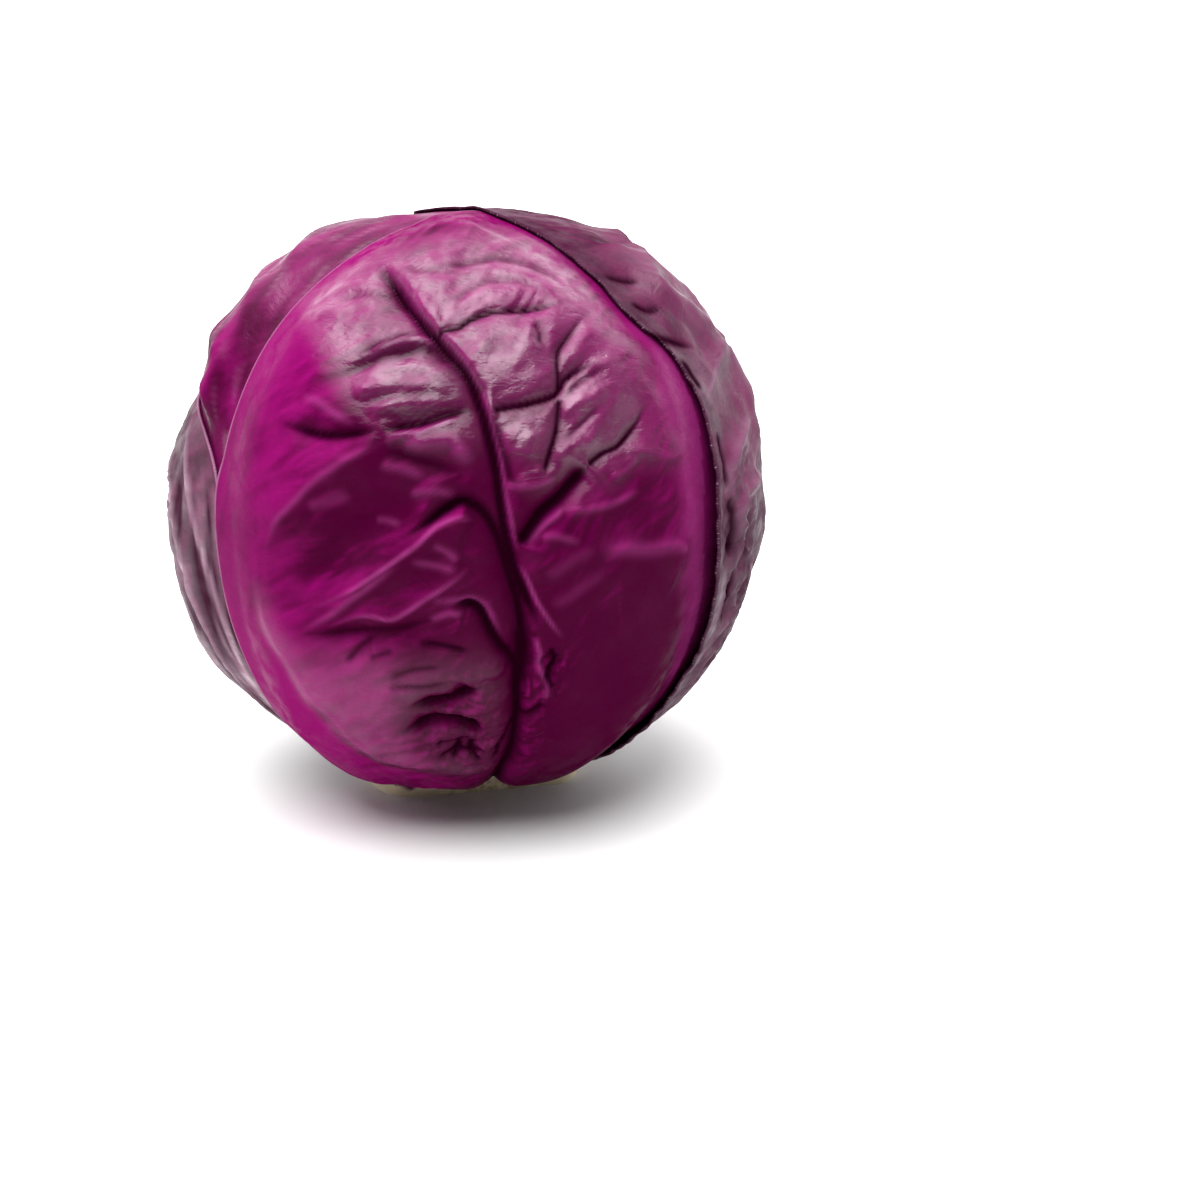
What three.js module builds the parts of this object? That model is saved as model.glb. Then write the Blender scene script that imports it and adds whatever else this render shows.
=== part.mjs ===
// A head of red cabbage as it is sold: a short cut stem, the tight heart of inner leaves that
// grew on it, and the five wrapper leaves that show, each wrapped over the ones before it.
// Millimetres, +Z up. The origin is the middle of the cut face that the head stands on, and -Y
// is the head's front. An azimuth of 0 is that front, and 90 is +X.
import * as THREE from "three";

// ---- Driving dimensions ----
const HEART_WIDTH = 140; // across the heart of inner leaves
const CROWN_DROP = 2; // how much flatter the heart is at its crown
const HEART_BLEND = 12; // rounding between the heart's side and its flat underside
const CENTRE_HEIGHT = 72.5; // the head's middle above the cut face
const FOOT_CLEARANCE = 5; // from the level the head stands on up to the leaves' lowest pads
const BLADE_THICKNESS = 0.8; // a wrapper leaf between its ribs
const BLADE_GAP = 0.7; // air between a leaf and what it wraps
const STEM_RADIUS = 27.5; // the cut stem, with the leaf stalks that were cut through with it
const STEM_FLAT = 16.7; // from the stem's middle to the slice cut off its front
const STEM_FLAT_AZIMUTH = 14.4; // the way that slice faces
const STEM_HEIGHT = 8; // from the cut face up into the head
const STEM_EDGE = 0.5; // the cut face's edge is taken off by this much
const STEM_CLEARANCE = 1.2; // between the stem and what grows round it
const STEM_SIDES = 48;
const STEM_CORNERS = 14; // how tight the corners are where the slice meets the round side

const HEART_RADIUS = HEART_WIDTH / 2;
const BLADE_RADIUS = HEART_RADIUS + 3; // radius on which a blade's flat millimetres are measured
const STEP_SPREAD = 15; // a leaf lies down over this width beside the edge of one under it
const PAD_MARGIN = 20; // width beside the leaf's edge in which its pads die away
const RIB_ROUNDNESS = 0.5; // share of a rib's width that is rounded rather than drawn to a line
const RIB_REACH = 6; // a rib shapes the blade out to this many times its width
const RIB_START = 0.08; // share of a rib's length over which it rises at its start
const RIB_END = 0.3; // and dies away at its end
const EDGE_LIFT = 1.2; // how far the outermost leaf's edge stands off the others
const EDGE_LIFT_WIDTH = 9; // over this width
const FRONT_CELLS = 42; // grid cells across the front leaf
const SIDE_CELLS = 22; // and across each other leaf
const MIDDLE_CELL = 0.8; // size of the cells in the front leaf's middle against their mean size
const HEART_SEGMENTS = [26, 16]; // round the heart, and from its foot to its crown
const BEARINGS = 720; // on which the distance from a leaf's middle to its edge is worked out
const STEM_SEARCH = [60, 150]; // from a leaf's middle, the nearest and farthest that the stem can be
const SEARCH_STEP = 4;
const SEARCH_ROUNDS = 20; // halvings of the last step

const radians = THREE.MathUtils.degToRad;
const { smoothstep, lerp } = THREE.MathUtils;

function heading(azimuth, latitude) {
  const level = Math.cos(radians(latitude));
  const x = Math.sin(radians(azimuth)) * level;
  const y = -Math.cos(radians(azimuth)) * level;
  return new THREE.Vector3(x, y, Math.sin(radians(latitude)));
}

// ---- Ribs: each has a path in blade millimetres and a cross-section ----
// depth is how far the blade is drawn in along the path, or stands out where it is negative, and
// width is the distance in which the blade comes back on the path's left and right.
const rib = (depth, left, right, path) => ({ depth, left, right, path });

const FRONT_RIBS = [
  // the furrow along the midrib, and the wider one to the left of it lower down
  rib(4.2, 5.5, 3, [[-26, 78], [-19, 69], [-12, 62], [-5, 51], [2, 44], [6, 32], [9, 14], [14, 0], [19, -15],
    [22, -20]]),
  rib(4.6, 3, 4, [[-5, 10], [1, 14], [4, 11], [10, 6], [12, 0], [15, -14], [16, -20], [15, -40], [13, -60],
    [9, -97]]),
  // side ribs on the left, with hollows between
  rib(-2.2, 3, 14, [[-5, 53], [-14, 54], [-21, 51], [-34, 45], [-40, 38]]),
  rib(2.6, 4, 3, [[-8, 48], [-15, 48], [-27, 43], [-34, 38]]),
  rib(3.2, 2.5, 6, [[-45, 33], [-36, 28.5], [-23, 29], [-17, 30]]),
  rib(-4.0, 8, 20, [[5, 35], [-4, 30], [-18, 27], [-26, 22], [-33, 17], [-44, 5], [-52, -6]]),
  rib(3.0, 7, 9, [[6, 22], [-10, 13], [-30, -1], [-38, -8]]),
  rib(-3.6, 10, 3.4, [[3, 8], [-5, 6], [-19, -3], [-33, -12], [-42, -19]]),
  rib(2.2, 6.5, 7, [[8, 2], [-6, -3], [-24, -13], [-32, -16]]),
  rib(-2.4, 9, 3, [[4, -2], [-6, -8], [-19, -15], [-29, -18], [-42, -21]]),
  rib(3.0, 2.4, 3.6, [[-9, -12], [1, -10], [7, -19], [14, -30]]),
  // creases on the right, with puffed blade between
  rib(1.6, 3, 3, [[-19, 76], [-2, 79], [19, 77], [28, 71]]),
  rib(3.0, 4, 4, [[-7, 55], [1, 57], [14, 61], [32, 64], [44, 60]]),
  rib(3.2, 4, 4, [[7, 35], [17, 37], [25, 39], [29, 45], [44, 46]]),
  rib(2.4, 3, 3, [[32, 61], [27, 52], [25, 39]]),
  rib(2.0, 3, 3, [[25, 39], [21, 25], [19, 17]]),
  rib(4.2, 3.6, 3.6, [[12, 4], [21, 13], [31, 21], [42, 34], [50, 42]]),
  rib(-2.0, 3, 8, [[24, 11], [31, 14], [44, 15], [55, 14]]),
  rib(-2.4, 4, 12, [[16, -2], [33, 1], [51, 1], [64, -6]]),
  // the crumpled foot, and the roll along the lower left
  rib(2.6, 2.4, 3, [[-12, -39], [0, -35], [6, -33]]),
  rib(3.0, 2.4, 3, [[-13, -50], [-3, -43], [7, -47]]),
  rib(-2.4, 5, 5, [[-50, -11], [-47, -26], [-39, -41], [-27, -55], [-8, -64]]),
];

// Facets that meet along sharp folds where the left leaf comes over the head's upper left.
const LEFT_RIBS = [
  rib(-2.4, 13, 9, [[-60, 66], [-38, 65], [-16, 63], [4, 60], [17, 54], [33, 40]]),
  rib(-2.4, 11, 9, [[-50, 46], [-6, 47], [14, 44], [25, 39], [34, 23]]),
  rib(-3.6, 12, 10, [[-60, 24], [-34, 30], [-9, 31], [18, 30], [27, 12]]),
  rib(2.2, 5, 5, [[0, -90], [-3, -50], [-8, -20], [4, 20], [12, 38]]),
  rib(-1.8, 9, 5, [[-8, -20], [-24, -8], [-62, 4]]),
  rib(1.8, 4, 4, [[-6, -40], [-22, -36], [-60, -40]]),
  rib(-2.0, 5, 9, [[-3, -50], [14, -40], [58, -30]]),
];

// Folds from the edge that stands off the front leaf, and round the head's right side.
const RIGHT_RIBS = [
  rib(-2.6, 6, 5, [[-12, 62], [-35, 62], [-60, 63]]),
  rib(-3.0, 8, 7, [[-10, 40], [-39, 35], [-67, 30]]),
  rib(-3.0, 9, 7, [[-10, 18], [-35, 16], [-60, 19], [-78, 4]]),
  rib(-2.6, 8, 8, [[-27, 80], [-28, 61], [-35, 49], [-36, 16]]),
  rib(2.4, 3, 3, [[-66, 53], [-61, 48], [-55, 42]]),
  rib(2.4, 3, 3, [[-70, 28], [-74, 18], [-74, -10]]),
];

// The midrib and its side ribs, for a leaf whose ribs run evenly. The side ribs leave it in turn,
// left and right, and bend up towards the leaf's edge.
function evenRibs(base, tip, lean, count, depth) {
  const along = (t) => [lean * Math.sin(t * Math.PI) + lean * t, lerp(base, tip, t)];
  const ribs = [
    rib(depth * 1.3, 8, 8, [0, 0.25, 0.5, 0.75, 1].map(along)),
    rib(-depth * 0.8, 3, 3, [0, 0.25, 0.5].map(along)), // the midrib stands out in its lower half
  ];
  for (let i = 0; i < count; i++) {
    const start = 0.16 + (0.7 * i) / count;
    const side = i % 2 ? 1 : -1;
    const reach = 72 - 34 * start;
    const [x, y] = along(start);
    const bend = (t) => [x + side * reach * t, y + reach * t * (0.45 + 0.75 * start + 0.35 * t)];
    ribs.push(rib(depth * (1 - 0.4 * start), 6, 6, [0, 0.3, 0.65, 1].map(bend)));
  }
  return ribs;
}

// ---- Leaves, from the first that wraps the heart to the last ----
// A blade is measured flat from its middle: bearing 0 is towards its tip, 90 its right edge, 180
// its base. The outline gives the distance to the edge, in millimetres, on each bearing.
const LEAVES = [
  {
    name: "crown_leaf",
    azimuth: 150,
    latitude: 12,
    color: 0x8a2a66,
    cells: SIDE_CELLS,
    middleCell: 1,
    pads: 2.2,
    outline: [[-180, 112], [-135, 96], [-90, 80], [-45, 88], [0, 104], [45, 86], [90, 84], [135, 98]],
    ribs: evenRibs(-92, 70, 4, 9, 1.2),
  },
  {
    name: "left_leaf",
    azimuth: -86,
    latitude: 10,
    color: 0x8c2560,
    cells: SIDE_CELLS,
    middleCell: 1,
    pads: 2.4,
    outline: [[-180, 112], [-140, 96], [-115, 88], [-90, 85], [-60, 84], [-30, 92], [0, 104], [30, 94],
      [60, 78], [90, 74], [120, 82], [145, 96]],
    ribs: LEFT_RIBS,
  },
  {
    name: "back_leaf",
    azimuth: -137,
    latitude: -5,
    color: 0x7d4a66,
    cells: SIDE_CELLS,
    middleCell: 1,
    pads: 1.2,
    outline: [[-180, 104], [-150, 103], [-120, 98], [-90, 94], [-60, 88], [-30, 74], [0, 67], [30, 62],
      [50, 64], [58, 69], [62, 78], [67, 90], [72, 98.5], [78, 104], [84, 106.5], [100, 107], [120, 104],
      [150, 104]],
    ribs: [
      rib(-1.6, 4, 4, [[76, 34], [93, 24], [102, 7], [106, -13], [104, -32], [93, -51], [70, -80]]),
      rib(-1.6, 6, 5, [[60, 26], [78, 3], [80, -16], [76, -34], [56, -66]]),
      ...evenRibs(-84, 44, 5, 8, 1.7),
    ],
  },
  {
    name: "front_leaf",
    azimuth: 0,
    latitude: 5,
    color: 0x86195c,
    cells: FRONT_CELLS,
    middleCell: MIDDLE_CELL,
    pads: 3.4,
    outline: [[-180, 106], [-162, 110], [-145, 95], [-128, 79], [-104, 70], [-80, 71], [-60, 76],
      [-44, 83.5], [-25, 94], [-12, 104], [0, 112], [15, 112], [30, 103], [45, 93], [60, 87], [75, 84],
      [90, 83], [105, 83], [120, 87], [135, 94], [150, 103], [165, 110]],
    ribs: FRONT_RIBS,
  },
  {
    name: "right_leaf",
    azimuth: 122,
    latitude: 8,
    color: 0x6b3350,
    cells: SIDE_CELLS,
    middleCell: 1,
    pads: 2.2,
    edgeLift: EDGE_LIFT,
    outline: [[-180, 108], [-160, 109], [-135, 98], [-118, 91], [-105, 87.5], [-90, 85], [-78, 81],
      [-68, 77.5], [-57, 77], [-49, 79.5], [-44, 84.5], [-28, 89.5], [-13, 95], [0, 98.5], [10, 102],
      [18, 106], [30, 98], [45, 88], [60, 83], [90, 79], [120, 85], [145, 98], [165, 110]],
    ribs: [...RIGHT_RIBS, ...evenRibs(-90, 74, 5, 10, 1.9)],
  },
];

for (const leaf of LEAVES) {
  leaf.middle = heading(leaf.azimuth, leaf.latitude);
  leaf.right = heading(leaf.azimuth + 90, 0);
  leaf.up = new THREE.Vector3().crossVectors(leaf.middle, leaf.right);
  for (const each of leaf.ribs) {
    const points = each.path.map(([x, y]) => new THREE.Vector2(x, y));
    each.line = new THREE.SplineCurve(points).getPoints(4 * (points.length - 1));
  }
}

// ---- From a flat blade to the round head, and back ----
function bladeToHead(leaf, x, y) {
  const reach = Math.max(Math.hypot(x, y), 1e-6);
  const turn = reach / BLADE_RADIUS;
  const share = Math.sin(turn) / reach;
  const out = leaf.middle.clone().multiplyScalar(Math.cos(turn));
  return out.addScaledVector(leaf.right, x * share).addScaledVector(leaf.up, y * share);
}

function headToBlade(leaf, direction) {
  const x = direction.dot(leaf.right);
  const y = direction.dot(leaf.up);
  const reach = BLADE_RADIUS * Math.acos(THREE.MathUtils.clamp(direction.dot(leaf.middle), -1, 1));
  const share = reach / Math.max(Math.hypot(x, y), 1e-9);
  return [x * share, y * share];
}

// The stem's outline is round, with a slice cut off its front and the corners of that slice rounded.
function stemRadius(azimuth) {
  const facing = Math.max(Math.cos(azimuth - radians(STEM_FLAT_AZIMUTH)), 0);
  return (STEM_RADIUS ** -STEM_CORNERS + (facing / STEM_FLAT) ** STEM_CORNERS) ** (-1 / STEM_CORNERS);
}

// The distance along a bearing, in radians clockwise from the leaf's tip, at which the blade meets
// the stem.
function stemReach(leaf, bearing) {
  const apart = (reach) => {
    const direction = bladeToHead(leaf, Math.sin(bearing) * reach, Math.cos(bearing) * reach);
    if (direction.z > 0) return Infinity;
    const out = heartRadius(direction) * Math.hypot(direction.x, direction.y);
    return out - stemRadius(Math.atan2(direction.x, -direction.y)) - STEM_CLEARANCE;
  };
  let near = STEM_SEARCH[0];
  let far = near;
  while (apart(far) > 0) {
    near = far;
    far += SEARCH_STEP;
    if (far > STEM_SEARCH[1]) return Infinity;
  }
  for (let i = 0; i < SEARCH_ROUNDS; i++) {
    const half = (near + far) / 2;
    if (apart(half) > 0) near = half;
    else far = half;
  }
  return near;
}

// The distance from the leaf's middle to its free edge on a bearing: a smooth curve through the
// leaf's outline.
function freeReach(leaf, bearing) {
  const degrees = THREE.MathUtils.radToDeg(bearing);
  const points = leaf.outline;
  const count = points.length;
  const i = points.findLastIndex(([angle]) => angle <= degrees);
  const at = (k) => {
    const turns = Math.floor(k / count);
    const [angle, reach] = points[k - turns * count];
    return [angle + 360 * turns, reach];
  };
  const [[a0, r0], [a1, r1], [a2, r2], [a3, r3]] = [i - 1, i, i + 1, i + 2].map(at);
  const t = (degrees - a1) / (a2 - a1);
  const slope1 = ((r2 - r0) / (a2 - a0)) * (a2 - a1);
  const slope2 = ((r3 - r1) / (a3 - a1)) * (a2 - a1);
  const early = (2 * t ** 3 - 3 * t ** 2 + 1) * r1 + (t ** 3 - 2 * t ** 2 + t) * slope1;
  return early + (3 * t ** 2 - 2 * t ** 3) * r2 + (t ** 3 - t ** 2) * slope2;
}

// The blade's edge, read off a table made once for each leaf.
function edgeReach(leaf, bearing) {
  leaf.edge ??= Array.from({ length: BEARINGS + 1 }, (_, i) => {
    const each = Math.PI * ((2 * i) / BEARINGS - 1);
    return Math.min(freeReach(leaf, each), stemReach(leaf, each));
  });
  const place = (BEARINGS * (bearing / Math.PI + 1)) / 2;
  const i = Math.min(Math.floor(place), BEARINGS - 1);
  return lerp(leaf.edge[i], leaf.edge[i + 1], place - i);
}

// ---- The relief of a blade ----
function distanceToLine(line, x, y) {
  let best = { distance: Infinity };
  for (let i = 0; i + 1 < line.length; i++) {
    const run = [line[i + 1].x - line[i].x, line[i + 1].y - line[i].y];
    const off = [x - line[i].x, y - line[i].y];
    const length2 = run[0] ** 2 + run[1] ** 2;
    const t = THREE.MathUtils.clamp((off[0] * run[0] + off[1] * run[1]) / length2, 0, 1);
    const distance = Math.hypot(off[0] - t * run[0], off[1] - t * run[1]);
    if (distance < best.distance) {
      best = { distance, left: run[0] * off[1] - run[1] * off[0] > 0, along: (i + t) / (line.length - 1) };
    }
  }
  return best;
}

// How far the blade stands off what it wraps: pads between the ribs, drawn in along them.
function relief(leaf, x, y) {
  const inside = freeReach(leaf, Math.atan2(x, y)) - Math.hypot(x, y);
  let drawnIn = 0;
  let standsOut = 0;
  for (const each of leaf.ribs) {
    const { distance, left, along } = distanceToLine(each.line, x, y);
    const width = left ? each.left : each.right;
    if (distance > RIB_REACH * width) continue;
    const fade = smoothstep(along, 0, RIB_START) * (1 - smoothstep(along, 1 - RIB_END, 1));
    const share = fade * Math.exp(RIB_ROUNDNESS - Math.hypot(distance / width, RIB_ROUNDNESS));
    if (each.depth > 0) drawnIn += (each.depth * share) ** 3;
    else standsOut += (-each.depth * share) ** 3;
  }
  const level = leaf.pads + Math.cbrt(standsOut) - Math.cbrt(drawnIn);
  const lift = (leaf.edgeLift ?? 0) * (1 - smoothstep(inside, 0, EDGE_LIFT_WIDTH));
  return Math.max(0, level) * smoothstep(inside, 0, PAD_MARGIN) + lift;
}

// 1 on the blade, falling to 0 beside it.
function cover(leaf, direction) {
  const [x, y] = headToBlade(leaf, direction);
  return smoothstep(edgeReach(leaf, Math.atan2(x, y)) - Math.hypot(x, y), -STEP_SPREAD, 0);
}

// How far from the head's middle a level is met on the way down.
const downTo = (height, direction) => (CENTRE_HEIGHT - height) / Math.max(-direction.z, 0.3);

function heartRadius(direction) {
  const side = HEART_RADIUS - CROWN_DROP * Math.max(direction.z, 0) ** 2;
  const underside = downTo(STEM_HEIGHT + STEM_CLEARANCE, direction);
  const share = THREE.MathUtils.clamp(0.5 + (underside - side) / (2 * HEART_BLEND), 0, 1);
  return lerp(underside, side, share) - HEART_BLEND * share * (1 - share);
}

// The radius of a face of leaf number k: 0 is the face that lies on what it wraps, 1 the outer face.
function leafRadius(k, direction, face) {
  let radius = heartRadius(direction);
  for (let j = 0; j <= k; j++) {
    const leaf = LEAVES[j];
    const on = j === k ? 1 : cover(leaf, direction);
    if (on === 0) continue;
    const bare = LEAVES.slice(j + 1).reduce((left, over) => left * (1 - cover(over, direction)), 1);
    const room = Math.max(downTo(FOOT_CLEARANCE, direction) - radius - BLADE_GAP - BLADE_THICKNESS, 0);
    const pad = bare > 0 ? bare * Math.min(relief(leaf, ...headToBlade(leaf, direction)), room) : 0;
    radius += on * (BLADE_GAP + pad + (j === k ? face : 1) * BLADE_THICKNESS);
  }
  return radius;
}

// ---- Solids ----
function placed(direction, radius) {
  return [direction.x * radius, direction.y * radius, CENTRE_HEIGHT + direction.z * radius];
}

// A closed blade: a square grid drawn out to the leaf's edge, once for each face, and a rim round
// both. The two faces are split along the same diagonals.
function bladeGeometry(cells, point) {
  const positions = [];
  const index = [];
  const row = cells + 1;
  for (const face of [0, 1]) {
    for (let j = 0; j < row; j++) {
      for (let i = 0; i < row; i++) positions.push(...point((2 * i) / cells - 1, (2 * j) / cells - 1, face));
    }
  }
  const at = (i, j, face) => (face * row + j) * row + i;
  const quad = (a, b, c, d) => index.push(a, b, c, a, c, d);
  for (let j = 0; j < cells; j++) {
    for (let i = 0; i < cells; i++) {
      quad(at(i, j, 1), at(i + 1, j, 1), at(i + 1, j + 1, 1), at(i, j + 1, 1));
      const [a, b, c, d] = [at(i, j, 0), at(i + 1, j, 0), at(i + 1, j + 1, 0), at(i, j + 1, 0)];
      index.push(a, c, b, a, d, c);
    }
  }
  for (let i = 0; i < cells; i++) {
    quad(at(i, 0, 0), at(i + 1, 0, 0), at(i + 1, 0, 1), at(i, 0, 1));
    quad(at(i + 1, cells, 0), at(i, cells, 0), at(i, cells, 1), at(i + 1, cells, 1));
    quad(at(0, i + 1, 0), at(0, i, 0), at(0, i, 1), at(0, i + 1, 1));
    quad(at(cells, i, 0), at(cells, i + 1, 0), at(cells, i + 1, 1), at(cells, i, 1));
  }
  const geometry = new THREE.BufferGeometry();
  geometry.setAttribute("position", new THREE.Float32BufferAttribute(positions, 3));
  return geometry.setIndex(index);
}

function leafGeometry(k) {
  const leaf = LEAVES[k];
  const drawn = (share) => share * (leaf.middleCell + (1 - leaf.middleCell) * share ** 2);
  return bladeGeometry(leaf.cells, (i, j, face) => {
    const [a, b] = [drawn(i), drawn(j)];
    const across = a * Math.sqrt(1 - b ** 2 / 2);
    const up = b * Math.sqrt(1 - a ** 2 / 2);
    const reach = edgeReach(leaf, Math.atan2(across, up));
    const direction = bladeToHead(leaf, across * reach, up * reach);
    return placed(direction, leafRadius(k, direction, face));
  });
}

function heartGeometry() {
  const geometry = new THREE.SphereGeometry(1, ...HEART_SEGMENTS).rotateX(Math.PI / 2);
  const corners = geometry.attributes.position;
  for (let i = 0; i < corners.count; i++) {
    const direction = new THREE.Vector3().fromBufferAttribute(corners, i).normalize();
    corners.setXYZ(i, ...placed(direction, heartRadius(direction)));
  }
  return geometry;
}

function stemGeometry() {
  const outline = new THREE.Shape();
  for (let i = 0; i < STEM_SIDES; i++) {
    const azimuth = (i / STEM_SIDES) * 2 * Math.PI;
    const radius = stemRadius(azimuth) - STEM_EDGE;
    outline[i ? "lineTo" : "moveTo"](Math.sin(azimuth) * radius, -Math.cos(azimuth) * radius);
  }
  const edge = { bevelEnabled: true, bevelSize: STEM_EDGE, bevelThickness: STEM_EDGE, bevelSegments: 1 };
  const geometry = new THREE.ExtrudeGeometry(outline, { depth: STEM_HEIGHT - 2 * STEM_EDGE, ...edge });
  return geometry.translate(0, 0, STEM_EDGE);
}

function mesh(name, geometry, color, roughness) {
  geometry.computeVertexNormals();
  const made = new THREE.Mesh(geometry, new THREE.MeshStandardMaterial({ color, roughness, metalness: 0 }));
  made.name = name;
  return made;
}

const head = new THREE.Group();
head.add(mesh("cut_stem", stemGeometry(), 0xd9c9a3, 0.7));
head.add(mesh("heart", heartGeometry(), 0x7a2060, 0.5));
LEAVES.forEach((leaf, k) => head.add(mesh(leaf.name, leafGeometry(k), leaf.color, 0.4)));

export default head;
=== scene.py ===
import math

import bmesh
import bpy
import numpy as np
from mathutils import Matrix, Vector


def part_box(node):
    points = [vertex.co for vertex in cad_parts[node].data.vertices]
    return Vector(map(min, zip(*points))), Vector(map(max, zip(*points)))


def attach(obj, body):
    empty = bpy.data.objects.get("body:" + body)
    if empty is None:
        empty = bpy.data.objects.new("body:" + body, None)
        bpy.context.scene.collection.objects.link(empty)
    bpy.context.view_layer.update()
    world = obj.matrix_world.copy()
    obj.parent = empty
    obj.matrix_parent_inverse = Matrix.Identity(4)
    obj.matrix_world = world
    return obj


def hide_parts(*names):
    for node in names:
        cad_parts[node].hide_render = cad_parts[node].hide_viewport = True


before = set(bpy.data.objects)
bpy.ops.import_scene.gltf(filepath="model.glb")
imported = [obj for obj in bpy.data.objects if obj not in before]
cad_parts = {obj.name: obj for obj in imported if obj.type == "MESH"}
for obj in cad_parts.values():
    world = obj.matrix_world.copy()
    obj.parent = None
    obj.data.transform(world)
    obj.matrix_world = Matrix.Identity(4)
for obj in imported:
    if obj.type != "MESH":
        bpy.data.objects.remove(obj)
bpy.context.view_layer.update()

# ---- Studio ----
# A white table that runs on out of sight, a bright wall behind it, tall bright screens to the left
# and the right, and a ceiling lamp. The room behind the viewer is dark, so that the facets that
# face the viewer stay deep in colour.
HEAD_MIDDLE = Vector((0, 0, 0.0725))
VIEW_ELEVATION = math.radians(18)
VIEW_DISTANCE = 1.05
FRAME_SHIFT = (0.033, -0.02575)  # the head stands this far left of the frame's middle and above it
LENS = 126
SENSOR = 36
FAR_CLIP = 50
TABLE_SIZE = 12
LAMINATE_WHITE = (0.88, 0.88, 0.88, 1)
LAMP_AZIMUTH = math.radians(-28)  # from the front towards the right
LAMP_ELEVATION = math.radians(76)
LAMP_WIDTH = math.radians(64)
LAMP_STRENGTH = 5.3
BACK_WALL_GLOW = 2.2
SCREEN_GLOW = 0.7
CEILING_GLOW = 0.3
DARK_ROOM_GLOW = 0.015


class Wire:
    """One output of a shader node. Arithmetic on it adds Math nodes, and add() makes any other."""

    def __init__(self, tree, socket=None):
        self.tree = tree
        self.socket = socket

    def add(self, kind, settings=None, inputs=None, output=0):
        node = self.tree.nodes.new("ShaderNode" + kind)
        for name, value in (settings or {}).items():
            setattr(node, name, value)
        for name, value in (inputs or {}).items():
            if isinstance(value, Wire):
                self.tree.links.new(value.socket, node.inputs[name])
            else:
                node.inputs[name].default_value = value
        return Wire(self.tree, node.outputs[output] if len(node.outputs) else None)

    def math(self, operation, first, second=0.0):
        return self.add("Math", {"operation": operation}, {0: first, 1: second})

    def __add__(self, other):
        return self.math("ADD", self, other)

    __radd__ = __add__

    def __sub__(self, other):
        return self.math("SUBTRACT", self, other)

    def __rsub__(self, other):
        return self.math("SUBTRACT", other, self)

    def __mul__(self, other):
        return self.math("MULTIPLY", self, other)

    __rmul__ = __mul__

    def ease(self, start, end):
        """0 at start and 1 at end, with a smooth run between them."""
        settings = {"interpolation_type": "SMOOTHSTEP"}
        return self.add("MapRange", settings, {0: self, 1: start, 2: end})

    def tint(self, color_at_0, color_at_1):
        return self.add("Mix", {"data_type": "RGBA"}, {0: self, 6: color_at_0, 7: color_at_1}, 2)

    def split(self):
        """The x, y and z of a vector, each on a wire of its own."""
        apart = self.add("SeparateXYZ", inputs={0: self})
        return [Wire(self.tree, out) for out in apart.socket.node.outputs]


def add_object(name, data):
    made = bpy.data.objects.new(name, data)
    bpy.context.scene.collection.objects.link(made)
    return made


def object_from(mesh, name):
    """Makes an object of a finished bmesh."""
    made = add_object(name, bpy.data.meshes.new(name))
    mesh.to_mesh(made.data)
    mesh.free()
    return made


def new_material(name):
    """An empty material, and the wire that its nodes are added with."""
    material = bpy.data.materials.new(name)
    material.use_nodes = True
    material.node_tree.nodes.clear()
    return material, Wire(material.node_tree)


view_from = Vector((0, -math.cos(VIEW_ELEVATION), math.sin(VIEW_ELEVATION)))
view_up = Vector((0, math.sin(VIEW_ELEVATION), math.cos(VIEW_ELEVATION)))
camera = add_object("camera", bpy.data.cameras.new("camera"))
camera.data.lens = LENS
camera.data.sensor_width = SENSOR
camera.data.clip_end = FAR_CLIP
camera.location = HEAD_MIDDLE + VIEW_DISTANCE * view_from
camera.location += Vector((FRAME_SHIFT[0], 0, 0)) + FRAME_SHIFT[1] * view_up
camera.rotation_euler = (math.pi / 2 - VIEW_ELEVATION, 0, 0)
bpy.context.scene.camera = camera
bpy.context.scene.view_settings.view_transform = "Standard"

lamp = add_object("ceiling_lamp", bpy.data.lights.new("ceiling_lamp", "SUN"))
lamp.data.energy = LAMP_STRENGTH
lamp.data.angle = LAMP_WIDTH
lamp_level = math.cos(LAMP_ELEVATION)
towards_lamp = Vector((
    math.sin(LAMP_AZIMUTH) * lamp_level,
    -math.cos(LAMP_AZIMUTH) * lamp_level,
    math.sin(LAMP_ELEVATION),
))
lamp.rotation_euler = towards_lamp.to_track_quat("Z", "Y").to_euler()

room = bpy.data.worlds.new("room")
room.use_nodes = True
room.node_tree.nodes.clear()
air = Wire(room.node_tree)
side, depth, height = air.add("TexCoord").split()
back_wall = depth.ease(-0.1, 0.6) * BACK_WALL_GLOW
screens = air.math("ABSOLUTE", side).ease(0.6, 0.95) * SCREEN_GLOW
ceiling = height.ease(0.5, 0.95) * CEILING_GLOW
brightness = air.math("MAXIMUM", back_wall, air.math("MAXIMUM", screens, ceiling)) + DARK_ROOM_GLOW
glow = air.add("Background", inputs={"Color": (1, 1, 1, 1), "Strength": brightness})
air.add("OutputWorld", inputs={"Surface": glow})
bpy.context.scene.world = room

table_mesh = bmesh.new()
bmesh.ops.create_grid(table_mesh, x_segments=1, y_segments=1, size=TABLE_SIZE / 2)
table = object_from(table_mesh, "table")
laminate, white = new_material("white_laminate")
shine = white.add("BsdfPrincipled", inputs={"Base Color": LAMINATE_WHITE, "Roughness": 0.6})
white.add("OutputMaterial", inputs={"Surface": shine})
table.data.materials.append(laminate)


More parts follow.
